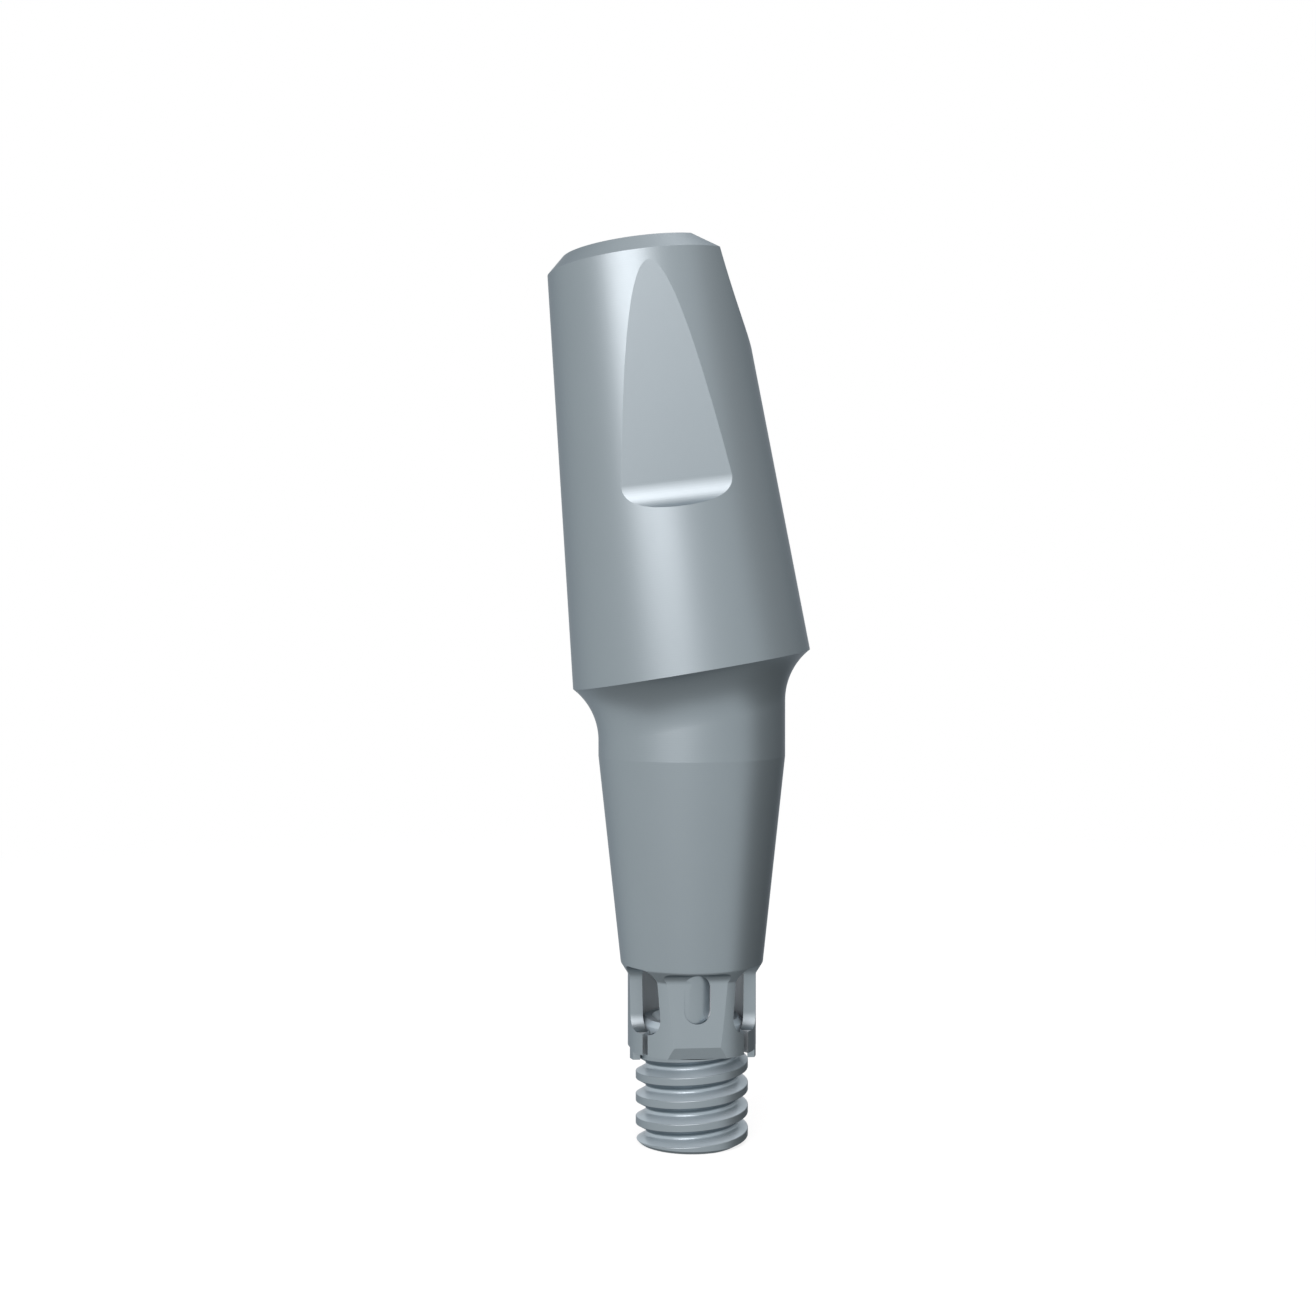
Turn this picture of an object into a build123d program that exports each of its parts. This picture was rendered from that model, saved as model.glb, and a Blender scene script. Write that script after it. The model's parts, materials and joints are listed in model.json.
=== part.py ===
from build123d import *
import os
from math import cos, radians, sin, tan

# Angled dental abutment with a captive screw, in millimetres.
# The origin is on the implant axis at the wide end of the implant cone. Z points up out of the
# implant. The flats and the front pillar of the index crown face -Y, and the post leans towards -X.

# Post that the dental crown is cemented on
post_tilt = 7.3
post_base_height = 1.307
post_base_radius = 1.81
post_length = 6.35
post_taper = 3.8
post_top_chamfer = 0.235

# Flats milled into the post against rotation of the dental crown
flat_distance = 1.415
flat_bottom = 2.34
flat_fillet = 0.32

# Neck that comes through the gum, and the flare that carries the post
neck_radius = 1.41
flare_radius = 0.98
flare_tangent_height = 0.54

# Cone that seats in the implant
cone_length = 3.11
cone_half_angle = 6.13

# Index crown under the cone
crown_radius = 0.97
crown_shoulder = 0.17
crown_length = 1.24
crown_rounding = 0.08
front_foot_rise = 0.12
rear_foot_rise = 0.16

# Two teeth that reach down beside the thread, one on each side of the foot
tooth_front_distance = 0.33
tooth_width = 0.14
tooth_inner_radius = 0.87

# Windows between the pillars of the index crown
pillar_count = 3
window_front_distance = 0.185
window_front_lean = 3
window_side_distance = 0.125
window_side_lean = -5.5
window_overlap = 0.002
window_drop = 0.085
window_height = 0.885
window_top_fillet = 0.165
window_floor_fillet = 0.24

# Slits that let the foot of the index crown spring
slit_width = 0.105
slit_position = 50.9
slit_direction = 33

# Facet milled on the front pillar
facet_distance = 0.852
facet_lean = 2.9
facet_drop = 0.02
facet_height = 1.10
facet_fillet = 0.165
facet_foot_height = 0.17
facet_foot_angle = 14

# Dimple pressed into the front pillar, which stands over the screw's head and keeps it captive
dimple_width = 0.39
dimple_height = 0.715
dimple_drop = 0.06
dimple_wall = 0.035
dimple_floor_radius = 0.55
dimple_floor_side = 0.145
dimple_floor_distance = 0.315
dimple_reach = 0.62

# Screw channel
channel_radius = 0.91
channel_depth = 1.2
channel_taper_length = 0.56
bore_radius = 0.79
throat_radius = 0.67
throat_length = 0.15

# Captive screw
head_clearance = 0.02
head_play = 0.02
head_edge_width = 0.064
head_edge_height = 0.08
screw_neck_clearance = 0.03
thread_mean_radius = 0.81
thread_length = 1.26
thread_gap = 0.04
thread_chamfer = 0.12
socket_across_flats = 0.90
socket_depth = 0.75
socket_dish_radius = 0.61
socket_dish_depth = 0.12

# Heights and radii that follow from the sizes above
cone_foot = -cone_length
cone_foot_radius = neck_radius - cone_length * tan(radians(cone_half_angle))
crown_top = cone_foot - crown_shoulder
crown_foot = crown_top - crown_length
window_top = cone_foot - window_drop
window_floor = window_top - window_height
throat_top = crown_foot + front_foot_rise + throat_length
seat_top = throat_top + bore_radius - throat_radius
dimple_top = cone_foot - dimple_drop
dimple_foot = dimple_top - dimple_height
head_top = dimple_foot - dimple_wall - head_play
head_radius = bore_radius - head_clearance
screw_neck_radius = throat_radius - screw_neck_clearance
thread_top = crown_foot - thread_gap
thread_foot = thread_top - thread_length

# Room that cutting shapes are given past the surfaces they cut
beyond = 2 * post_base_radius


# Plane square to the post's axis, at a distance along that axis from the post's base edge
def post_plane(distance):
    tilt = radians(post_tilt)
    axis = Vector(-sin(tilt), 0, cos(tilt))
    centre = Vector(0, 0, post_base_height) + axis * distance
    return Plane(origin=centre, x_dir=(cos(tilt), 0, sin(tilt)), z_dir=axis)


# Solid whose section, drawn with X towards the front and Y up, is drawn out to both sides
def side_extrusion(section, half_width):
    section_plane = Plane(origin=(0, 0, 0), x_dir=(0, -1, 0), z_dir=(-1, 0, 0))
    return extrude(section_plane * section, amount=half_width, both=True)


# Closed face through a list of corners
def outline(*corners):
    return make_face(Polyline(*corners, close=True))


# Face with the corner nearest to a point rounded
def rounded_at(face, point, radius):
    corner = face.vertices().sort_by_distance(point)[0]
    return fillet(corner, radius)


# Tapered post with its top chamfer, drawn on downwards past its base edge
def post_cone():
    growth = tan(radians(post_taper))
    overrun = neck_radius
    foot_radius = post_base_radius + overrun * growth
    top_radius = post_base_radius - post_length * growth
    cone = Cone(foot_radius, top_radius, overrun + post_length, align=(Align.CENTER, Align.CENTER, Align.MIN))
    rim = cone.edges().sort_by(Axis.Z)[-1]
    return post_plane(-overrun) * chamfer(rim, post_top_chamfer)


# Neck with the flare above it, cut off by the post's cone, which forms the post
def post_on_flare():
    underside = flare_tangent_height + flare_radius - post_base_height
    upwards = (Align.CENTER, Align.CENTER, Align.MIN)
    slab = post_plane(underside) * Cylinder(beyond, post_length + beyond, align=upwards)
    neck = Cylinder(neck_radius, beyond, align=upwards)
    joined = slab + neck
    corner = joined.edges().filter_by(GeomType.ELLIPSE)
    return fillet(corner, flare_radius) & post_cone()


# Neck, implant cone, shoulder and index crown, turned about the implant axis
def turned_foot():
    section = outline(
        (0, flare_tangent_height),
        (neck_radius, flare_tangent_height),
        (neck_radius, 0),
        (cone_foot_radius, cone_foot),
        (crown_radius, crown_top),
        (crown_radius, crown_foot),
        (0, crown_foot),
    )
    section = rounded_at(section, (cone_foot_radius, cone_foot), crown_rounding)
    section = rounded_at(section, (crown_radius, crown_top), crown_rounding)
    return revolve(Plane.XZ * section, Axis.Z)


# Room for the flats: one on the front of the post and one on its back
def post_flats():
    box_height = post_length + beyond
    section = outline(
        (flat_distance, flat_bottom),
        (beyond, flat_bottom),
        (beyond, box_height),
        (flat_distance, box_height),
    )
    section = rounded_at(section, (flat_distance, flat_bottom), flat_fillet)
    front = post_plane(0).location * side_extrusion(section, beyond)
    return front + mirror(front, Plane.XZ)


# Hole for the screwdriver, the screw's head on its conical seat, and the screw's neck
def screw_channel():
    section = outline(
        (0, post_length + beyond),
        (channel_radius, post_length + beyond),
        (channel_radius, -channel_depth),
        (bore_radius, -channel_depth - channel_taper_length),
        (bore_radius, seat_top),
        (throat_radius, throat_top),
        (throat_radius, crown_foot - beyond),
        (0, crown_foot - beyond),
    )
    return revolve(Plane.XZ * section, Axis.Z)


# Room in front of one straight window wall, at this distance from the axis at the window's top and
# leaning out by this many degrees on the way down, with this margin above and below
def window_room(angle, distance, lean, margin):
    top = window_top + margin
    floor = window_floor - margin
    foot_distance = distance + window_height * tan(radians(lean))
    section = outline(
        (foot_distance, floor),
        (beyond, floor),
        (beyond, top),
        (distance, top),
    )
    section = rounded_at(section, (foot_distance, floor), window_floor_fillet)
    section = rounded_at(section, (distance, top), window_top_fillet)
    return Rot(0, 0, angle) * side_extrusion(section, beyond)


# Windows between the pillars, each in the corner of two window walls. Those at the front lean
# forwards on the way down, and the one at the back is upright.
def windows():
    step = 360 / pillar_count
    front_wall = window_room(0, window_front_distance, window_front_lean, 0)
    right_wall = window_room(step, window_side_distance, window_side_lean, window_overlap)
    left_wall = window_room(-step, window_side_distance, window_side_lean, window_overlap)
    back_right = window_room(step, window_side_distance, 0, 0)
    back_left = window_room(-step, window_side_distance, 0, window_overlap)
    return [front_wall & right_wall, front_wall & left_wall, back_right & back_left]


# Plane upright through a slit, at a point on the crown's surface, with X running inwards
def slit_plane(position, direction):
    point = Rot(0, 0, position) * Pos(0, -crown_radius, 0)
    inwards = Rot(0, 0, direction) * Pos(0, 1, 0)
    return Plane(origin=point.position, x_dir=inwards.position, z_dir=(0, 0, 1))


# Slits from the windows down through the foot of the crown: two at the front and one behind
def slits():
    depth = crown_radius - throat_radius + slit_width
    top = window_floor + window_floor_fillet / 2
    height = top - crown_foot + slit_width
    blade = Box(2 * depth, slit_width, height, align=(Align.CENTER, Align.CENTER, Align.MAX))
    places = [(slit_position, slit_direction), (-slit_position, -slit_direction), (180, 180)]
    return [Pos(0, 0, top) * (slit_plane(*place).location * blade) for place in places]


# Room under the foot of the crown, in front of the teeth, behind them and between them
def foot_room():
    front_top = crown_foot + front_foot_rise
    rear_top = crown_foot + rear_foot_rise
    back_distance = tooth_front_distance - tooth_width
    front = side_extrusion(outline(
        (tooth_front_distance, crown_foot - beyond),
        (beyond, crown_foot - beyond),
        (beyond, front_top),
        (tooth_front_distance, front_top),
    ), beyond)
    rear = side_extrusion(outline(
        (-beyond, crown_foot - beyond),
        (back_distance, crown_foot - beyond),
        (back_distance, rear_top),
        (-beyond, rear_top),
    ), beyond)
    between = Pos(0, 0, front_top) * Cylinder(
        tooth_inner_radius, beyond, align=(Align.CENTER, Align.CENTER, Align.MAX)
    )
    return front + rear + between


# Room in front of the facet, with its rounded top corner and its foot drawn back
def facet_room():
    top = cone_foot - facet_drop
    foot = top - facet_height
    foot_distance = facet_distance + facet_height * tan(radians(facet_lean))
    end = foot - facet_foot_height
    end_distance = foot_distance - facet_foot_height * tan(radians(facet_foot_angle))
    section = outline(
        (beyond, top),
        (facet_distance, top),
        (foot_distance, foot),
        (end_distance, end),
        (end_distance, crown_foot - beyond),
        (beyond, crown_foot - beyond),
    )
    section = rounded_at(section, (facet_distance, top), facet_fillet)
    return side_extrusion(section, crown_radius)


# Upright slot shape, this much larger than the dimple all round, between two distances
def dimple_shape(margin, near, far):
    width = dimple_width + 2 * margin
    height = dimple_height + 2 * margin
    middle = (dimple_top + dimple_foot) / 2
    plane = Plane(origin=(0, -near, middle), x_dir=(1, 0, 0), z_dir=(0, -1, 0))
    return extrude(plane * SlotOverall(height, width, rotation=90), amount=far - near)


# Metal that the dimple pushes into the bore
def dimple_back():
    return dimple_shape(dimple_wall, dimple_reach, bore_radius + head_clearance)


# Hollow of the dimple on the outside, with its rounded floor that falls away to one side
def dimple_hollow():
    floor = Pos(-dimple_floor_side, -dimple_floor_distance) * Cylinder(dimple_floor_radius, beyond * 4)
    return dimple_shape(0, bore_radius / 2, beyond) - floor


# Whole abutment body
def abutment_body():
    body = post_on_flare() + turned_foot()
    body -= post_flats()
    body -= screw_channel()
    for window in windows():
        body -= window
    body -= facet_room()
    body -= foot_room()
    for slit in slits():
        body -= slit
    body += dimple_back()
    return body - dimple_hollow()


# Hexagonal socket with its dished mouth
def driver_socket():
    hexagon = RegularPolygon(socket_across_flats / 2, 6, major_radius=False)
    hole = Pos(0, 0, head_top) * extrude(hexagon, amount=-socket_depth)
    dish = outline(
        (0, head_top),
        (socket_dish_radius, head_top),
        (socket_across_flats / 2, head_top - socket_dish_depth),
        (0, head_top - socket_dish_depth),
    )
    return hole + revolve(Plane.XZ * dish, Axis.Z)


# Captive screw: the head in the index crown, the neck through its foot, and below them the plain
# cylinder of the thread, at the mean between its crest and its root
def abutment_screw():
    section = outline(
        (0, head_top),
        (head_radius - head_edge_width, head_top),
        (head_radius, head_top - head_edge_height),
        (head_radius, seat_top - head_clearance),
        (screw_neck_radius, throat_top - screw_neck_clearance),
        (screw_neck_radius, thread_top),
        (thread_mean_radius - thread_chamfer, thread_top),
        (thread_mean_radius, thread_top - thread_chamfer),
        (thread_mean_radius, thread_foot + thread_chamfer),
        (thread_mean_radius - thread_chamfer, thread_foot),
        (0, thread_foot),
    )
    return revolve(Plane.XZ * section, Axis.Z) - driver_socket()


os.makedirs("parts", exist_ok=True)
export_step(abutment_body(), "parts/abutment_body.step")
export_step(abutment_screw(), "parts/abutment_screw.step")
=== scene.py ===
import json
import math

import bmesh
import bpy
import numpy as np
from mathutils import Matrix, Vector

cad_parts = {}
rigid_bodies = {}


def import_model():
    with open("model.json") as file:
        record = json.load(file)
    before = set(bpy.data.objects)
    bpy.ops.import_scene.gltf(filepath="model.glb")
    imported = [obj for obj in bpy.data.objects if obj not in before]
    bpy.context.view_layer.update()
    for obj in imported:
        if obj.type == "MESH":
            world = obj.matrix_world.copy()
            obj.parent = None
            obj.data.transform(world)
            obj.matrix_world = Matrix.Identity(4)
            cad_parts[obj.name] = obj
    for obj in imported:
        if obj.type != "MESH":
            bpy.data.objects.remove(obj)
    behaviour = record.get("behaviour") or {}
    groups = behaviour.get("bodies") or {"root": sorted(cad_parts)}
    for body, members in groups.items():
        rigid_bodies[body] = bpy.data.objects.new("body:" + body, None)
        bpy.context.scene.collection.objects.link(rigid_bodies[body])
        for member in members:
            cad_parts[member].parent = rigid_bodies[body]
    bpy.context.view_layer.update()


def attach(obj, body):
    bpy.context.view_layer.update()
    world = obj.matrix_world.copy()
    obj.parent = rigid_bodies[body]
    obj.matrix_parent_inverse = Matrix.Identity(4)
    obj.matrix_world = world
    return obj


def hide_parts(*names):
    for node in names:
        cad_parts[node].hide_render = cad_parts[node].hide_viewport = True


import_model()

# Shapes are built in millimetres, in the frame of the CAD, and shrunk to metres once whole.
metresPerMillimetre = 0.001
millimetresPerMetre = 1000


def slope(degrees):
    return math.tan(math.radians(degrees))


def makeObject(name, points, faces):
    mesh = bpy.data.meshes.new(name)
    mesh.from_pydata([tuple(p) for p in points], [], faces)
    mesh.validate()
    madeObject = bpy.data.objects.new(name, mesh)
    bpy.context.scene.collection.objects.link(madeObject)
    return madeObject


def faceOutwards(solid):
    measure = bmesh.new()
    measure.from_mesh(solid.data)
    if measure.calc_volume(signed=True) < 0:
        solid.data.flip_normals()
    measure.free()
    return solid


# Closed skin through rings of equally many points, from the first ring to the last. A ring of one
# point is a pole, and an end that isn't a pole is closed with a single face.
def skin(name, rings):
    points, faces, starts = [], [], []
    count = max(len(ring) for ring in rings)
    for ring in rings:
        starts.append(len(points))
        points += ring
    for i in range(len(rings) - 1):
        low, high = starts[i], starts[i + 1]
        for j in range(count):
            k = (j + 1) % count
            if len(rings[i]) == 1:
                faces.append((low, high + k, high + j))
            elif len(rings[i + 1]) == 1:
                faces.append((low + j, low + k, high))
            else:
                faces.append((low + j, low + k, high + k, high + j))
    if len(rings[0]) > 1:
        faces.append(tuple(reversed(range(count))))
    if len(rings[-1]) > 1:
        faces.append(tuple(range(starts[-1], starts[-1] + count)))
    return faceOutwards(makeObject(name, points, faces))


def circle(radius, height, segments):
    angles = np.arange(segments) * 2 * math.pi / segments
    return [(radius * math.cos(a), radius * math.sin(a), height) for a in angles]


# Solid turned about Z from a section of (radius, height) points that starts and ends on the axis,
# and runs upwards on its outside
def turned(name, section, segments):
    return skin(name, [
        [(0, 0, height)] if radius == 0 else circle(radius, height, segments)
        for radius, height in section
    ])


# Corners of a section with some of them rounded: each entry is (a, b) or (a, b, radius)
def roundedSection(corners, degreesPerPiece=2.5):
    found = []
    for i, corner in enumerate(corners):
        if len(corner) < 3:
            found.append(corner)
            continue
        here = Vector(corner[:2])
        before = (Vector(corners[i - 1][:2]) - here).normalized()
        after = (Vector(corners[(i + 1) % len(corners)][:2]) - here).normalized()
        half = before.angle(after) / 2
        centre = here + (before + after).normalized() * (corner[2] / math.sin(half))
        start = here + before * (corner[2] / math.tan(half)) - centre
        end = here + after * (corner[2] / math.tan(half)) - centre
        turn = math.pi - 2 * half
        sign = 1 if start.x * end.y - start.y * end.x > 0 else -1
        pieces = max(2, math.ceil(math.degrees(turn) / degreesPerPiece))
        for j in range(pieces + 1):
            a = sign * turn * j / pieces
            found.append((
                centre.x + start.x * math.cos(a) - start.y * math.sin(a),
                centre.y + start.x * math.sin(a) + start.y * math.cos(a),
            ))
    return found


# Solid between two copies of a flat outline, which place() puts into space for each end
def prism(name, section, place):
    area = sum(
        section[i - 1][0] * section[i][1] - section[i][0] * section[i - 1][1]
        for i in range(len(section))
    )
    ordered = section if area > 0 else section[::-1]
    return skin(name, [[place(a, b, end) for a, b in ordered] for end in (0, 1)])


# Solid whose section lies across X, with its first number towards the front, -Y
def sidePrism(name, section, halfWidth):
    return prism(name, section, lambda a, b, end: (-halfWidth if end == 0 else halfWidth, -a, b))


def moved(thing, matrix):
    thing.data.transform(matrix)
    if matrix.determinant() < 0:
        thing.data.flip_normals()
    return thing


def evaluatedMesh(thing):
    evaluated = thing.evaluated_get(bpy.context.evaluated_depsgraph_get())
    return bpy.data.meshes.new_from_object(evaluated)


def replaceMesh(thing, mesh):
    old = thing.data
    thing.modifiers.clear()
    thing.data = mesh
    bpy.data.meshes.remove(old)


# Adds a tool to a solid, or takes it away from it, and removes the tool
def combine(solid, tool, operation):
    modifier = solid.modifiers.new("combine", "BOOLEAN")
    modifier.operation = operation
    modifier.solver = "MANIFOLD"
    modifier.object = tool
    replaceMesh(solid, evaluatedMesh(solid))
    bpy.data.objects.remove(tool)
    return solid


# Smooth shading with the edges over an angle kept sharp, normals weighted by face area, and the
# step from millimetres to metres
def finishMesh(solid, sharpAngle):
    mesh = solid.data
    for polygon in mesh.polygons:
        polygon.use_smooth = True
    mesh.set_sharp_from_angle(angle=math.radians(sharpAngle))
    modifier = solid.modifiers.new("weights", "WEIGHTED_NORMAL")
    modifier.keep_sharp = True
    replaceMesh(solid, evaluatedMesh(solid))
    solid.data.transform(Matrix.Scale(metresPerMillimetre, 4))
    solid.data.name = solid.name
    return solid


# Millimetres and degrees. Drops are counted down from the foot of the cone, and rises up from the
# foot of the crown.
abutmentBody = {
    "postTilt": 7.3,
    "postBaseHeight": 1.307,
    "postBaseRadius": 1.81,
    "postLength": 6.35,
    "postTaper": 3.8,
    "postTopChamfer": 0.235,
    "flatDistance": 1.415,  # from the post's axis
    "flatBottom": 2.34,  # along the post from its base
    "flatFillet": 0.44,
    "neckRadius": 1.41,
    "flareRadius": 0.98,
    "flareTangentHeight": 0.54,
    "flareSteps": 48,
    "coneLength": 3.11,
    "coneHalfAngle": 6.13,
    "crownRadius": 0.97,
    "crownShoulder": 0.17,
    "crownLength": 1.24,
    "crownRounding": 0.08,
    "frontFootRise": 0.12,
    "rearFootRise": 0.16,
    "toothFrontDistance": 0.33,
    "toothWidth": 0.14,
    "toothInnerRadius": 0.87,
    "windowAngle": 120,
    "windowFrontDistance": 0.185,
    "windowFrontLean": 3,
    "windowSideDistance": 0.125,
    "windowSideLean": -5.5,
    "windowDrop": -0.01,
    "windowHeight": 0.98,
    "windowWallLevel": 0.095,  # below the window's top, where the distances above are taken
    "windowTopFillet": 0.25,
    "windowFloorFillet": 0.24,
    "slitWidth": 0.105,
    "slitPosition": 50.9,  # angle from the front, to either side
    "slitDirection": 33,
    "facetDistance": 0.852,
    "facetLean": 2.9,
    "facetDrop": 0.02,
    "facetHeight": 1.10,
    "facetFillet": 0.165,
    "facetFootHeight": 0.17,
    "facetFootAngle": 14,
    "dimpleWidth": 0.39,
    "dimpleHeight": 0.715,
    "dimpleDrop": 0.06,
    "dimpleWall": 0.035,
    "dimpleBackOverlap": 0.02,  # of the dimple's back with the wall of the bore
    "dimpleFloorRadius": 0.55,
    "dimpleFloorSide": 0.145,
    "dimpleFloorDistance": 0.315,
    "dimpleFloorSegments": 180,
    "dimpleReach": 0.62,
    "dimpleSteps": 72,  # in each round end
    "channelRadius": 0.91,
    "channelDepth": 1.2,
    "channelTaperLength": 0.56,
    "boreRadius": 0.79,
    "throatRadius": 0.67,
    "throatLength": 0.15,
    "segments": 256,
    "sharpAngle": 3.2,
}
size = abutmentBody
coneFoot = -size["coneLength"]
coneFootRadius = size["neckRadius"] - size["coneLength"] * slope(size["coneHalfAngle"])
crownTop = coneFoot - size["crownShoulder"]
crownFoot = crownTop - size["crownLength"]
windowTop = coneFoot - size["windowDrop"]
windowFloor = windowTop - size["windowHeight"]
throatTop = crownFoot + size["frontFootRise"] + size["throatLength"]
seatTop = throatTop + size["boreRadius"] - size["throatRadius"]
far = 4 * size["postBaseRadius"]  # clear of the whole body, for the tools that cut it

postTilt = math.radians(size["postTilt"])
postAxis = Vector((-math.sin(postTilt), 0, math.cos(postTilt)))
postSide = Vector((math.cos(postTilt), 0, math.sin(postTilt)))
postBase = Vector((0, 0, size["postBaseHeight"]))
postTurn = Matrix((postSide, (0, 1, 0), postAxis)).transposed().to_4x4()
postFrame = Matrix.Translation(postBase) @ postTurn


# Path of the flare on one side of the neck, as points from the neck to the post's cone, and the
# direction from the post's axis in which it ends. A ball rolls between the neck and the slanted
# collar, and its path is halved again and again to find where it meets the cone.
def flareColumn(outwards):
    ball = size["flareRadius"]
    collar = size["flareTangentHeight"] + ball - size["postBaseHeight"]
    ballLevel = postAxis.dot(postBase) + collar - ball
    reach = (size["neckRadius"] + ball) * outwards
    centre = reach + Vector((0, 0, (ballLevel - postAxis.dot(reach)) / postAxis.z))

    def onBall(share):
        return centre + ball * (-outwards).slerp(postAxis, share)

    def fromPost(share):
        offset = onBall(share) - postBase
        along = offset.dot(postAxis)
        return along, offset - along * postAxis

    low, high = 0.0, 1.0
    halvings = 40
    for _ in range(halvings):
        middle = (low + high) / 2
        along, across = fromPost(middle)
        if across.length > size["postBaseRadius"] - along * slope(size["postTaper"]):
            high = middle
        else:
            low = middle
    steps = size["flareSteps"]
    points = [tuple(onBall(low * i / steps)) for i in range(steps + 1)]
    return points, fromPost(low)[1].normalized()


# Outside of the body in one closed skin: the foot, the cone and the neck are rings about the
# implant axis, and the post's rings start where each column of the flare ends.
def outerSkin():
    segments = size["segments"]
    foot = roundedSection([
        (0, crownFoot),
        (size["crownRadius"], crownFoot),
        (size["crownRadius"], crownTop, size["crownRounding"]),
        (coneFootRadius, coneFoot, size["crownRounding"]),
        (size["neckRadius"], 0),
    ], degreesPerPiece=2.6)
    rings = [[(0, 0, crownFoot)]]
    rings += [circle(radius, height, segments) for radius, height in foot[1:]]

    columns = [flareColumn(Vector(outwards)) for outwards in circle(1, 0, segments)]
    rings += [list(ring) for ring in zip(*(points for points, direction in columns))]

    length, chamfer = size["postLength"], size["postTopChamfer"]
    for height, inset in ((length - chamfer, 0), (length, chamfer)):
        radius = size["postBaseRadius"] - height * slope(size["postTaper"]) - inset
        middle = postBase + postAxis * height
        rings.append([tuple(middle + direction * radius) for points, direction in columns])
    rings.append([tuple(postBase + postAxis * length)])
    return skin("abutmentBody", rings)


def flatRoom(side):
    high = size["postLength"] + far
    section = roundedSection([
        (size["flatDistance"], size["flatBottom"], size["flatFillet"]),
        (far, size["flatBottom"]),
        (far, high),
        (size["flatDistance"], high),
    ], degreesPerPiece=2)
    room = moved(sidePrism("flatRoom", section, far), postFrame)
    return moved(room, Matrix.Scale(-1, 4, (0, 1, 0))) if side < 0 else room


def channelRoom():
    return turned("channelRoom", [
        (0, crownFoot - far),
        (size["throatRadius"], crownFoot - far),
        (size["throatRadius"], throatTop),
        (size["boreRadius"], seatTop),
        (size["boreRadius"], -size["channelDepth"] - size["channelTaperLength"]),
        (size["channelRadius"], -size["channelDepth"]),
        (size["channelRadius"], size["postLength"] + far),
        (0, size["postLength"] + far),
    ], size["segments"])


# Room in front of one window wall, at this distance from the axis near the window's top and
# leaning out by this many degrees on the way down
def windowRoom(angle, distance, lean):
    topDistance = distance - size["windowWallLevel"] * slope(lean)
    footDistance = topDistance + size["windowHeight"] * slope(lean)
    section = roundedSection([
        (footDistance, windowFloor, size["windowFloorFillet"]),
        (far, windowFloor),
        (far, windowTop),
        (topDistance, windowTop, size["windowTopFillet"]),
    ])
    turn = Matrix.Rotation(math.radians(angle), 4, "Z")
    return moved(sidePrism("windowRoom", section, far), turn)


def slitRoom(position, direction):
    depth = size["crownRadius"] - size["throatRadius"] + size["slitWidth"]
    top = windowFloor + size["windowFloorFillet"] / 2
    low = crownFoot - size["slitWidth"]
    spot = Matrix.Rotation(math.radians(position), 4, "Z") @ Vector((0, -size["crownRadius"], 0))
    half = size["slitWidth"] / 2
    outline = [(-depth, -half), (depth, -half), (depth, half), (-depth, half)]
    turn = math.radians(direction + 90)

    def place(a, b, end):
        x = spot.x + a * math.cos(turn) - b * math.sin(turn)
        y = spot.y + a * math.sin(turn) + b * math.cos(turn)
        return (x, y, low if end == 0 else top)

    return prism("slitRoom", outline, place)


# Rooms under the foot of the crown: in front of its two teeth, behind them and between them
def footRooms():
    frontTop = crownFoot + size["frontFootRise"]
    rearTop = crownFoot + size["rearFootRise"]
    low = crownFoot - far
    near = size["toothFrontDistance"]
    back = near - size["toothWidth"]
    inner = size["toothInnerRadius"]
    front = [(near, low), (far, low), (far, frontTop), (near, frontTop)]
    rear = [(-far, low), (back, low), (back, rearTop), (-far, rearTop)]
    between = [(0, low), (inner, low), (inner, frontTop), (0, frontTop)]
    return [
        sidePrism("frontFoot", front, far),
        sidePrism("rearFoot", rear, far),
        turned("betweenTeeth", between, size["segments"]),
    ]


def facetRoom():
    top = coneFoot - size["facetDrop"]
    foot = top - size["facetHeight"]
    footDistance = size["facetDistance"] + size["facetHeight"] * slope(size["facetLean"])
    end = foot - size["facetFootHeight"]
    endDistance = footDistance - size["facetFootHeight"] * slope(size["facetFootAngle"])
    section = roundedSection([
        (far, top),
        (size["facetDistance"], top, size["facetFillet"]),
        (footDistance, foot),
        (endDistance, end),
        (endDistance, crownFoot - far),
        (far, crownFoot - far),
    ])
    return sidePrism("facetRoom", section, size["crownRadius"])


# Upright slot, this much larger than the dimple all round, between two distances from the axis
def dimpleSlot(name, margin, near, distant):
    radius = size["dimpleWidth"] / 2 + margin
    top = coneFoot - size["dimpleDrop"]
    rise = (size["dimpleHeight"] - size["dimpleWidth"]) / 2
    middle = top - size["dimpleHeight"] / 2
    steps = size["dimpleSteps"]
    outline = []
    for start, centre in ((0, middle + rise), (math.pi, middle - rise)):
        for i in range(steps + 1):
            a = start + math.pi * i / steps
            outline.append((radius * math.cos(a), centre + radius * math.sin(a)))
    return prism(name, outline, lambda a, b, end: (a, -near if end == 1 else -distant, b))


def dimpleHollow():
    hollow = dimpleSlot("dimpleHollow", 0, size["boreRadius"] / 2, far)
    radius = size["dimpleFloorRadius"]
    section = [(0, -far), (radius, -far), (radius, far), (0, far)]
    floor = turned("dimpleFloor", section, size["dimpleFloorSegments"])
    offset = (-size["dimpleFloorSide"], -size["dimpleFloorDistance"], 0)
    moved(floor, Matrix.Translation(offset))
    return combine(hollow, floor, "DIFFERENCE")


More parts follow.
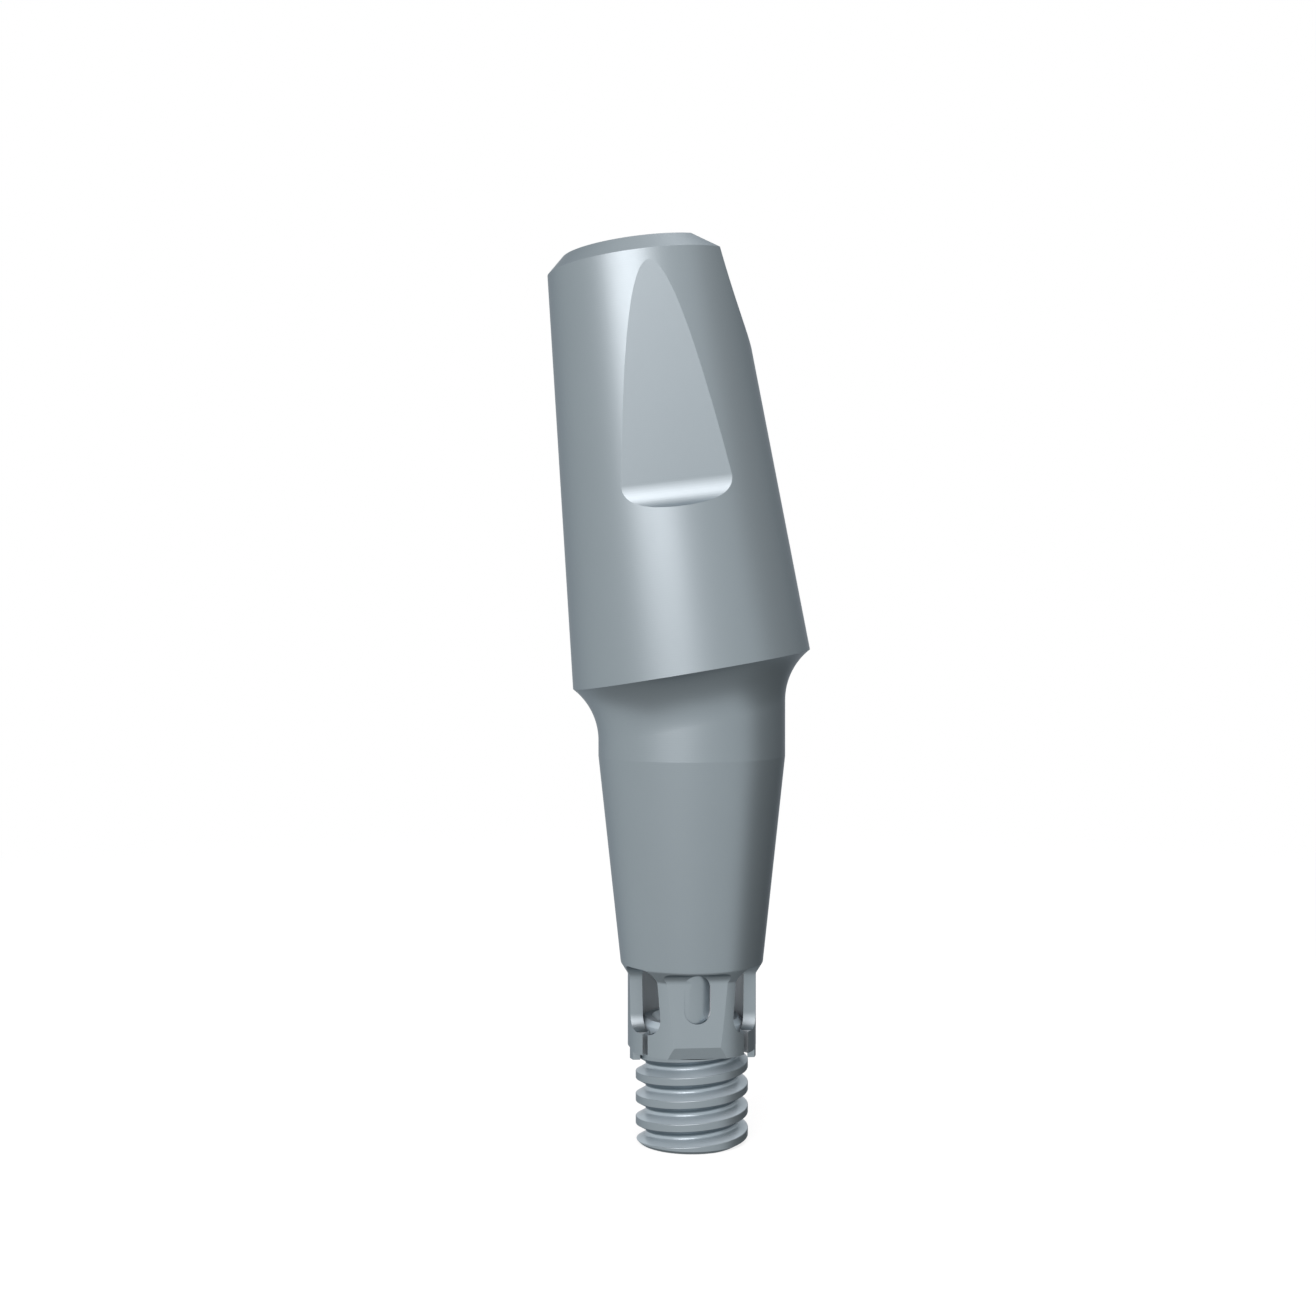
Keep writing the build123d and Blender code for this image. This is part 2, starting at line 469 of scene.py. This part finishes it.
def makeBody():
    body = outerSkin()
    for side in (1, -1):
        combine(body, flatRoom(side), "DIFFERENCE")
    combine(body, channelRoom(), "DIFFERENCE")
    front = (0, size["windowFrontDistance"], size["windowFrontLean"])
    angle, distance, lean = size["windowAngle"], size["windowSideDistance"], size["windowSideLean"]
    for wall, nextWall in (
        (front, (angle, distance, lean)),
        (front, (-angle, distance, lean)),
        ((angle, distance, 0), (-angle, distance, 0)),
    ):
        window = combine(windowRoom(*wall), windowRoom(*nextWall), "INTERSECT")
        combine(body, window, "DIFFERENCE")
    combine(body, facetRoom(), "DIFFERENCE")
    for room in footRooms():
        combine(body, room, "DIFFERENCE")
    position, direction = size["slitPosition"], size["slitDirection"]
    for slit in ((position, direction), (-position, -direction), (180, 180)):
        combine(body, slitRoom(*slit), "DIFFERENCE")
    behind = size["boreRadius"] + size["dimpleBackOverlap"]
    back = dimpleSlot("dimpleBack", size["dimpleWall"], size["dimpleReach"], behind)
    combine(body, back, "UNION")
    combine(body, dimpleHollow(), "DIFFERENCE")
    return finishMesh(body, size["sharpAngle"])


bodyPiece = makeBody()
print("abutment body:", len(bodyPiece.data.polygons), "faces")


captiveScrew = {
    "headClearance": 0.02,
    "headPlay": 0.02,
    "headEdgeWidth": 0.064,
    "headEdgeHeight": 0.08,
    "neckClearance": 0.03,
    "socketAcrossFlats": 0.90,
    "socketDepth": 0.75,
    "socketDishRadius": 0.61,
    "socketDishDepth": 0.12,
    "cutterRise": 0.1,  # of the socket's tools over the head
    "threadGap": 0.04,
    "threadLength": 1.26,
    "threadOverlap": 0.05,  # of the neck with the thread's core
    "threadTopGap": 0.015,
    "crestRadius": 0.85,
    "rootRadius": 0.70,
    "rootRounding": 0.054,
    "flankAngle": 30,
    "pitch": 0.342,
    "frontCrestHeight": -4.734,
    "endChamfer": 0.045,
    "mergeDistance": 0.00002,
    "stepsPerTurn": 120,
    "stepsPerSection": 72,
    "segments": 192,
    "sharpAngle": 24,
}
dimpleFoot = coneFoot - size["dimpleDrop"] - size["dimpleHeight"]
headTop = dimpleFoot - size["dimpleWall"] - captiveScrew["headPlay"]
threadTop = crownFoot - captiveScrew["threadGap"]
threadFoot = threadTop - captiveScrew["threadLength"]

# Inputs of the thread's node tree
threadInputs = {
    "Crest Radius": captiveScrew["crestRadius"],
    "Root Radius": captiveScrew["rootRadius"],
    "Root Rounding": captiveScrew["rootRounding"],
    "Pitch": captiveScrew["pitch"],
    "Front Crest Height": captiveScrew["frontCrestHeight"],
    "Top": crownFoot + size["frontFootRise"] - captiveScrew["threadTopGap"],
    "Foot": threadFoot,
    "End Chamfer": captiveScrew["endChamfer"],
    "Steps per Turn": captiveScrew["stepsPerTurn"],
    "Steps per Section": captiveScrew["stepsPerSection"],
}


# One socket of a node tree, so that sums on sockets can be written as Python expressions
class Wire:
    def __init__(self, graph, socket):
        self.graph, self.socket = graph, socket

    def __add__(self, other):
        return self.graph.maths("ADD", self, other)

    def __sub__(self, other):
        return self.graph.maths("SUBTRACT", self, other)

    def __mul__(self, other):
        return self.graph.maths("MULTIPLY", self, other)

    def __truediv__(self, other):
        return self.graph.maths("DIVIDE", self, other)

    def __radd__(self, other):
        return self.graph.maths("ADD", other, self)

    def __rsub__(self, other):
        return self.graph.maths("SUBTRACT", other, self)

    def __rmul__(self, other):
        return self.graph.maths("MULTIPLY", other, self)

    def __rtruediv__(self, other):
        return self.graph.maths("DIVIDE", other, self)


# Node tree that is filled by calls: node() takes a type, the settings that come before the sockets,
# and the values or links of its sockets, by name or by place. A list links several wires to one.
class Graph:
    def __init__(self, tree):
        self.tree = tree

    def node(self, kind, settings=None, sockets=None, output=0):
        made = self.tree.nodes.new(kind)
        for name, value in (settings or {}).items():
            setattr(made, name, value)
        for key, value in (sockets or {}).items():
            wires = [value] if isinstance(value, Wire) else value
            if isinstance(wires, list):
                for wire in wires:
                    self.tree.links.new(wire.socket, made.inputs[key])
            else:
                made.inputs[key].default_value = value
        return Wire(self, made.outputs[output]) if made.outputs else None

    def output(self, wire, name):
        return Wire(self, wire.socket.node.outputs[name])

    def maths(self, operation, *values, clamp=False):
        settings = {"operation": operation, "use_clamp": clamp}
        return self.node("ShaderNodeMath", settings, dict(enumerate(values)))


# Helical ridge of the thread as a closed tube: a grid whose X runs along the helix and whose Y runs
# round the ridge's section, with both ends drawn to a point. The core is joined to it and a cone
# cuts it level at both ends, with the chamfer at the foot.
def threadTree():
    tree = bpy.data.node_groups.new("screwThread", "GeometryNodeTree")
    graph = Graph(tree)
    for name, value in threadInputs.items():
        kind = "NodeSocketInt" if isinstance(value, int) else "NodeSocketFloat"
        tree.interface.new_socket(name, in_out="INPUT", socket_type=kind)
    tree.interface.new_socket("Material", in_out="INPUT", socket_type="NodeSocketMaterial")
    tree.interface.new_socket("Thread", in_out="OUTPUT", socket_type="NodeSocketGeometry")
    given = graph.node("NodeGroupInput")
    (
        crest, root, rounding, pitch, frontCrest, top, foot, chamfer, stepsPerTurn, stepsPerSection,
    ) = (graph.output(given, name) for name in threadInputs)

    turnsBelow = graph.maths("CEIL", (frontCrest - foot) / pitch) + 1
    turnsAbove = graph.maths("CEIL", (top - frontCrest) / pitch) + 1
    turns = turnsBelow + turnsAbove
    grid = graph.node("GeometryNodeMeshGrid", {}, {
        "Size X": 1.0, "Size Y": 1.0,
        "Vertices X": turns * stepsPerTurn + 1, "Vertices Y": stepsPerSection + 1,
    })
    place = graph.node("ShaderNodeSeparateXYZ", {}, {0: graph.node("GeometryNodeInputPosition")})
    along, around = graph.output(place, "X"), graph.output(place, "Y")

    # The grid runs this far either way from its middle. Round the section, its middle part is the
    # ridge's outside, and the rest runs in to the core.
    gridHalf = 0.5
    gridEnd = 0.49999
    outsideShare = 0.42
    ridgeShare = 0.97  # of the pitch is covered by a ridge, so that two turns never touch
    insideShare = 0.9  # of the root's radius is where the tube's inner side lies
    flankAngle = math.radians(captiveScrew["flankAngle"])
    away = graph.maths("ABSOLUTE", around)
    side = graph.maths("SIGN", around)
    reach = graph.maths("MINIMUM", away / outsideShare, 1.0)
    inwards = graph.maths("DIVIDE", away - outsideShare, gridHalf - outsideShare, clamp=True)
    fromGroove = (1.0 - reach * ridgeShare) * pitch / 2
    tangent = rounding * math.cos(flankAngle)
    onArc = graph.maths("MINIMUM", fromGroove, tangent)
    arc = root + rounding - graph.maths("SQRT", rounding * rounding - onArc * onArc)
    flank = graph.maths("MAXIMUM", fromGroove - tangent, 0.0) / math.tan(flankAngle)
    surface = graph.maths("MINIMUM", arc + flank, crest)
    kept = graph.maths("LESS_THAN", graph.maths("ABSOLUTE", along), gridEnd)
    inside = root * insideShare
    radius = inside + (surface - inside) * (1.0 - inwards) * kept
    rise = side * reach * ridgeShare * pitch / 2 * (1.0 - inwards) * kept

    turn = (along + gridHalf) * turns - turnsBelow
    angle = turn * (2 * math.pi) - math.pi / 2
    position = graph.node("ShaderNodeCombineXYZ", {}, {
        "X": radius * graph.maths("COSINE", angle),
        "Y": radius * graph.maths("SINE", angle),
        "Z": frontCrest + turn * pitch + rise,
    })
    ridge = graph.node("GeometryNodeSetPosition", {}, {"Geometry": grid, "Position": position})
    ridge = graph.node("GeometryNodeMergeByDistance", {}, {
        "Geometry": ridge, "Distance": captiveScrew["mergeDistance"],
    })

    coreExcess = 0.0005  # over the root, so that core and groove never lie in one surface
    coreExtraLength = 0.4
    length = top - foot
    core = graph.node("GeometryNodeMeshCylinder", {}, {
        "Vertices": stepsPerTurn, "Radius": root + coreExcess, "Depth": length + coreExtraLength,
    })
    middle = graph.node("ShaderNodeCombineXYZ", {}, {"Z": (top + foot) / 2})
    core = graph.node("GeometryNodeTransform", {}, {"Geometry": core, "Translation": middle})
    settings = {"operation": "UNION", "solver": "MANIFOLD"}
    joined = graph.node("GeometryNodeMeshBoolean", settings, {1: [ridge, core]})
    envelope = graph.node("GeometryNodeMeshCone", {}, {
        "Vertices": stepsPerTurn, "Radius Top": crest - chamfer + length,
        "Radius Bottom": crest - chamfer, "Depth": length,
    })
    low = graph.node("ShaderNodeCombineXYZ", {}, {"Z": foot})
    envelope = graph.node("GeometryNodeTransform", {}, {"Geometry": envelope, "Translation": low})
    settings = {"operation": "INTERSECT", "solver": "MANIFOLD"}
    cut = graph.node("GeometryNodeMeshBoolean", settings, {1: [joined, envelope]})
    whole = graph.node("GeometryNodeRealizeInstances", {}, {0: cut})
    whole = graph.node("GeometryNodeSetMaterial", {}, {
        "Geometry": whole, "Material": graph.output(given, "Material"),
    })
    graph.node("NodeGroupOutput", {}, {"Thread": whole})
    return tree


def makeThread(material):
    holder = makeObject("screwThread", [(0, 0, 0)], [])
    modifier = holder.modifiers.new("thread", "NODES")
    modifier.node_group = threadTree()
    values = {**threadInputs, "Material": material}
    for item in modifier.node_group.interface.items_tree:
        if item.in_out == "INPUT":
            modifier[item.identifier] = values[item.name]
    replaceMesh(holder, evaluatedMesh(holder))
    return holder


def makeScrew(material):
    segments = captiveScrew["segments"]
    headRadius = size["boreRadius"] - captiveScrew["headClearance"]
    neckRadius = size["throatRadius"] - captiveScrew["neckClearance"]
    neckFoot = threadTop - captiveScrew["threadOverlap"]
    screw = turned("captiveScrew", [
        (0, neckFoot),
        (neckRadius, neckFoot),
        (neckRadius, throatTop - captiveScrew["neckClearance"]),
        (headRadius, seatTop - captiveScrew["headClearance"]),
        (headRadius, headTop - captiveScrew["headEdgeHeight"]),
        (headRadius - captiveScrew["headEdgeWidth"], headTop),
        (0, headTop),
    ], segments)

    over = captiveScrew["cutterRise"]
    halfFlats = captiveScrew["socketAcrossFlats"] / 2
    corner = captiveScrew["socketAcrossFlats"] / math.sqrt(3)
    hexagon = [
        (corner * math.cos(math.pi * i / 3), corner * math.sin(math.pi * i / 3)) for i in range(6)
    ]
    levels = (headTop - captiveScrew["socketDepth"], headTop + over)
    socket = prism("socket", hexagon, lambda a, b, end: (a, b, levels[end]))
    combine(screw, socket, "DIFFERENCE")

    depth, radius = captiveScrew["socketDishDepth"], captiveScrew["socketDishRadius"]
    dish = turned("dish", [
        (0, headTop - depth),
        (halfFlats, headTop - depth),
        (radius + over * ((radius - halfFlats) / depth), headTop + over),
        (0, headTop + over),
    ], segments)
    combine(screw, dish, "DIFFERENCE")
    combine(screw, makeThread(material), "UNION")
    return finishMesh(screw, captiveScrew["sharpAngle"])


titanium = {
    "colour": (0.272, 0.318, 0.345, 1),
    "edgeTint": (0.45, 0.47, 0.5, 1),
    "roughness": 0.42,
    "roughnessSpread": 0.05,
    "grainRoughness": 0.04,
    "drift": {"Scale": 900.0, "Detail": 3.0, "Roughness": 0.55},
    "driftShare": 0.35,
    "driftDarkening": 0.86,
    "grain": {"Scale": 14000.0, "Detail": 2.0, "Roughness": 0.5},
    "turningPitch": 0.035,
    "turningDepth": 0.012,
    "turningRelief": 0.5,
    "grainRelief": 0.6,
    "reliefStrength": 0.02,
}
# Painted light: the crown's inner walls and the thread's flanks are painted paler, and less like a
# mirror, to lighten the shade in the crown's hollows and the thread's grooves
lightPaintedWalls = {"colour": (0.62, 0.66, 0.69, 1), "metallic": 0.2, "roughness": 0.45}
lightPaintedFlanks = {"colour": (0.375, 0.445, 0.49, 1), "metallic": 0.5, "roughness": 0.31}


def emptyGraph(owner):
    owner.use_nodes = True
    owner.node_tree.nodes.clear()
    return Graph(owner.node_tree)


# Object coordinates, or the facing of the surface, as three separate numbers
def coordinates(graph, output):
    wanted = graph.node("ShaderNodeTexCoord", output=output)
    parts = graph.node("ShaderNodeSeparateXYZ", {}, {0: wanted})
    return [graph.output(parts, name) for name in "XYZ"]


def mixedColour(graph, share, colour, other):
    sockets = {0: share, 6: colour, 7: other}  # the places of a Mix node's colours
    return graph.node("ShaderNodeMix", {"data_type": "RGBA"}, sockets, 2)


# Satin machined titanium. Fine turning marks follow the implant axis below the post and the post's
# own axis above it, and the colour and the gloss drift a little from place to place. The mask says
# where the paler, painted-light finish takes over, which lightens places that lie in shade.
def satinTitanium(name, turnedPost, lightPainted, mask):
    material = bpy.data.materials.new(name)
    graph = emptyGraph(material)
    x, y, z = coordinates(graph, "Object")
    height = z * millimetresPerMetre
    if turnedPost:
        sideways = x * millimetresPerMetre
        postHeight = height * math.cos(postTilt) - sideways * math.sin(postTilt)
        onPost = graph.maths("GREATER_THAN", postHeight, postAxis.dot(postBase))
        height = height + (postHeight - height) * onPost
    marks = graph.maths("SINE", height * (2 * math.pi / titanium["turningPitch"]))
    place = graph.node("ShaderNodeTexCoord", output="Object")
    drift = graph.node("ShaderNodeTexNoise", {}, {"Vector": place, **titanium["drift"]})
    grain = graph.node("ShaderNodeTexNoise", {}, {"Vector": place, **titanium["grain"]})

    darker = tuple(c * titanium["driftDarkening"] for c in titanium["colour"][:3]) + (1,)
    driftShare = graph.maths("MULTIPLY", drift, titanium["driftShare"], clamp=True)
    share = mask(graph)
    shade = mixedColour(graph, driftShare, titanium["colour"], darker)
    # Painted light: the masked walls and flanks get the paler colour, which lightens their shade
    shade = mixedColour(graph, share, shade, lightPainted["colour"])
    level = titanium["roughness"] + share * (lightPainted["roughness"] - titanium["roughness"])
    middle = 0.5  # of what a noise gives
    roughness = level + (drift - middle) * titanium["roughnessSpread"]
    roughness = roughness + (grain - middle) * titanium["grainRoughness"]
    bump = graph.node("ShaderNodeBump", {}, {
        "Strength": titanium["reliefStrength"],
        "Distance": titanium["turningDepth"] * metresPerMillimetre,
        "Height": marks * titanium["turningRelief"] + (grain - middle) * titanium["grainRelief"],
    })
    shader = graph.node("ShaderNodeBsdfPrincipled", {}, {
        "Base Color": shade,
        "Metallic": 1.0 - share * (1.0 - lightPainted["metallic"]),
        "Roughness": roughness,
        "Specular Tint": titanium["edgeTint"],
        "Normal": bump,
    })
    graph.node("ShaderNodeOutputMaterial", {}, {"Surface": shader})
    return material


# Painted light: walls that look towards the axis, the channel, the bore and the windows, and by
# half the slits, are painted paler to lighten the shade inside the crown. The limits say how far
# outwards a wall of each part may look and still be painted paler.
def lightPaintedWallMask(graph):
    channelLimit, windowLimit, slitLimit = -0.2, -0.1, 0.2
    slitShare = 0.5
    blur = 0.1
    crownEdge = coneFoot - 0.03
    x, y, z = (part * millimetresPerMetre for part in coordinates(graph, "Object"))
    facingX, facingY, _ = coordinates(graph, "Normal")
    radius = graph.maths("SQRT", x * x + y * y)
    outwards = (x * facingX + y * facingY) / radius
    aboveCrown = graph.maths("GREATER_THAN", z, crownEdge)
    belowWindows = graph.maths("LESS_THAN", z, windowFloor)
    limit = windowLimit + (slitLimit - windowLimit) * belowWindows
    limit = limit + (channelLimit - windowLimit) * aboveCrown
    inner = graph.maths("DIVIDE", limit - outwards, blur, clamp=True)
    return inner * (1.0 - (1.0 - slitShare) * belowWindows)


# Painted light: everything inside the thread's crest that doesn't look down is painted paler, so
# the flanks that face up read as lit while the undersides stay dark
def lightPaintedFlankMask(graph):
    crestMargin, crestBlur = 0.002, 0.01
    lowestFacing, facingBlur = -0.35, 0.3
    x, y, _ = (part * millimetresPerMetre for part in coordinates(graph, "Object"))
    _, _, facingZ = coordinates(graph, "Normal")
    radius = graph.maths("SQRT", x * x + y * y)
    depth = captiveScrew["crestRadius"] - crestMargin - radius
    within = graph.maths("DIVIDE", depth, crestBlur, clamp=True)
    return within * graph.maths("DIVIDE", facingZ - lowestFacing, facingBlur, clamp=True)


def dress(piece, finish, body, node):
    piece.data.materials.clear()
    piece.data.materials.append(finish)
    for polygon in piece.data.polygons:
        polygon.material_index = 0
    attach(piece, body)
    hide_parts(node)


# Both finishes paint light: paler inner walls on the body, paler upward flanks on the screw
bodyFinish = satinTitanium("satinTitaniumBody", True, lightPaintedWalls, lightPaintedWallMask)
screwFinish = satinTitanium("satinTitaniumScrew", False, lightPaintedFlanks, lightPaintedFlankMask)
screwPiece = makeScrew(screwFinish)
print("captive screw:", len(screwPiece.data.polygons), "faces")
dress(bodyPiece, bodyFinish, "body", "abutment_body")
dress(screwPiece, screwFinish, "screw", "abutment_screw")
print("finishes: satin and blasted titanium")


# Metres and degrees. Azimuth is counted from the camera towards the image's right.
studio = {
    "lightLevel": 0.85,
    "floorSize": 0.6,
    "floorColour": (0.94, 0.95, 0.96, 1),
    "shadowStrength": 0.2,
    "shadowReach": (0.012, 0.04),
    "lampColour": (1.0, 0.905, 0.885),
    "key": {
        "azimuth": -20, "elevation": 41, "distance": 0.06,
        "width": 0.048, "height": 0.07, "radiance": 3.8,
    },
    "rightLamp": {
        "azimuth": 78, "elevation": 66, "distance": 0.06,
        "width": 0.036, "height": 0.036, "radiance": 3.0,
    },
    "rightFlag": {
        "azimuth": 115, "elevation": -22, "distance": 0.08,
        "width": 0.12, "height": 0.08, "radiance": 0.25,
    },
    "rearFlag": {
        "azimuth": 112, "elevation": 22, "distance": 0.08,
        "width": 0.13, "height": 0.055, "radiance": 0.62,
    },
    "lowerFlag": {  # just off straight down, where its turn would be open
        "azimuth": 0, "elevation": -89.9, "distance": 0.08,
        "width": 0.17, "height": 0.17, "radiance": 0.43,
    },
}
# Millimetres and degrees, with the lens and the picture in pixels
cameraSizes = {
    "azimuth": -5.44,
    "distance": 28.1,
    "height": 2.216,
    "pitch": 0.675,
    "focalPixels": 1860,
    "imagePixels": 1316,
    "axisColumn": 691.8,
    "axisRow": 630.5,
    "sensorWidth": 36,
    "nearestMetres": 0.001,
    "farthestMetres": 10,
}
cameraAzimuth = math.radians(cameraSizes["azimuth"])
towardsCamera = Vector((math.sin(cameraAzimuth), -math.cos(cameraAzimuth), 0))
toTheRight = Vector((-towardsCamera.y, towardsCamera.x, 0))
white = (1, 1, 1, 1)


# Direction seen from the object
def studioDirection(azimuth, elevation):
    a, e = math.radians(azimuth), math.radians(elevation)
    level = towardsCamera * math.cos(a) + toTheRight * math.sin(a)
    return level * math.cos(e) + Vector((0, 0, math.sin(e)))


# Is 1 for what the camera sees, also in a mirror or through glass, and 0 for light on a surface
def seenDirectly(graph):
    rays = graph.node("ShaderNodeLightPath")
    reflected = graph.output(rays, "Is Glossy Ray") + graph.output(rays, "Is Transmission Ray")
    return graph.maths("ADD", graph.output(rays, "Is Camera Ray"), reflected, clamp=True)


def makeWorld():
    world = bpy.data.worlds.new("studio")
    bpy.context.scene.world = world
    graph = emptyGraph(world)
    level = studio["lightLevel"]
    colour = mixedColour(graph, seenDirectly(graph), (level, level, level, 1), white)
    background = graph.node("ShaderNodeBackground", {}, {"Color": colour, "Strength": 1.0})
    graph.node("ShaderNodeOutputWorld", {}, {"Surface": background})


# Face of four corners that is only scenery, with an empty material of its own
def stagedCard(name, corners):
    card = makeObject(name, corners, [(0, 1, 2, 3)])
    material = bpy.data.materials.new(name)
    card.data.materials.append(material)
    return card, emptyGraph(material)


# White wherever it is seen, apart from the object's shadow, which fades away from its foot
def makeFloor():
    half = studio["floorSize"] / 2
    height = threadFoot * metresPerMillimetre
    corners = [(-half, -half), (half, -half), (half, half), (-half, half)]
    floor, graph = stagedCard("floor", [(a, b, height) for a, b in corners])
    lit = graph.node("ShaderNodeBsdfDiffuse", {}, {"Color": studio["floorColour"]})
    plain = graph.node("ShaderNodeEmission", {}, {"Color": white, "Strength": 1.0})
    place = graph.node("ShaderNodeTexCoord", output="Object")
    distance = graph.node("ShaderNodeVectorMath", {"operation": "LENGTH"}, {0: place}, "Value")
    near, distant = studio["shadowReach"]
    fade = graph.maths("DIVIDE", distance - near, distant - near, clamp=True)
    whiteness = seenDirectly(graph) * (1.0 - studio["shadowStrength"] * (1.0 - fade))
    surface = graph.node("ShaderNodeMixShader", {}, {0: whiteness, 1: lit, 2: plain})
    graph.node("ShaderNodeOutputMaterial", {}, {"Surface": surface})
    floor.visible_glossy = False
    floor.visible_diffuse = False


def softbox(name):
    sizes = studio[name]
    lamp = bpy.data.lights.new(name, "AREA")
    lamp.shape = "RECTANGLE"
    lamp.size, lamp.size_y = sizes["width"], sizes["height"]
    lamp.energy = sizes["radiance"] * math.pi * lamp.size * lamp.size_y
    lamp.color = studio["lampColour"]
    box = bpy.data.objects.new(name, lamp)
    direction = studioDirection(sizes["azimuth"], sizes["elevation"])
    box.location = direction * sizes["distance"]
    box.rotation_euler = direction.to_track_quat("Z", "Y").to_euler()
    box.visible_camera = False
    bpy.context.scene.collection.objects.link(box)


# Grey card outside the picture that the metal's darker side reflects
def flag(name):
    sizes = studio[name]
    direction = studioDirection(sizes["azimuth"], sizes["elevation"])
    turn = direction.to_track_quat("Z", "Y")
    halfWidth, halfHeight = sizes["width"] / 2, sizes["height"] / 2
    corners = [
        (-halfWidth, -halfHeight), (halfWidth, -halfHeight),
        (halfWidth, halfHeight), (-halfWidth, halfHeight),
    ]
    middle = direction * sizes["distance"]
    card, graph = stagedCard(name, [middle + turn @ Vector((a, b, 0)) for a, b in corners])
    glow = graph.node("ShaderNodeEmission", {}, {"Color": white, "Strength": sizes["radiance"]})
    graph.node("ShaderNodeOutputMaterial", {}, {"Surface": glow})
    card.visible_camera = False
    card.visible_shadow = False


def makeCamera():
    pixels = cameraSizes["imagePixels"]
    lens = bpy.data.cameras.new("camera")
    lens.sensor_width = cameraSizes["sensorWidth"]
    lens.lens = cameraSizes["sensorWidth"] * cameraSizes["focalPixels"] / pixels
    lens.shift_x = -(cameraSizes["axisColumn"] - pixels / 2) / pixels
    lens.shift_y = -(pixels / 2 - cameraSizes["axisRow"]) / pixels
    lens.clip_start = cameraSizes["nearestMetres"]
    lens.clip_end = cameraSizes["farthestMetres"]
    camera = bpy.data.objects.new("camera", lens)
    place = towardsCamera * cameraSizes["distance"] + Vector((0, 0, cameraSizes["height"]))
    camera.location = place * metresPerMillimetre
    direction = studioDirection(0, cameraSizes["pitch"])
    camera.rotation_euler = direction.to_track_quat("Z", "Y").to_euler()
    bpy.context.scene.collection.objects.link(camera)
    bpy.context.scene.camera = camera


bpy.context.scene.view_settings.view_transform = "Standard"
makeWorld()
makeFloor()
for name in ("key", "rightLamp"):
    softbox(name)
for name in ("rightFlag", "rearFlag", "lowerFlag"):
    flag(name)
makeCamera()
print("studio: floor, lights and camera")
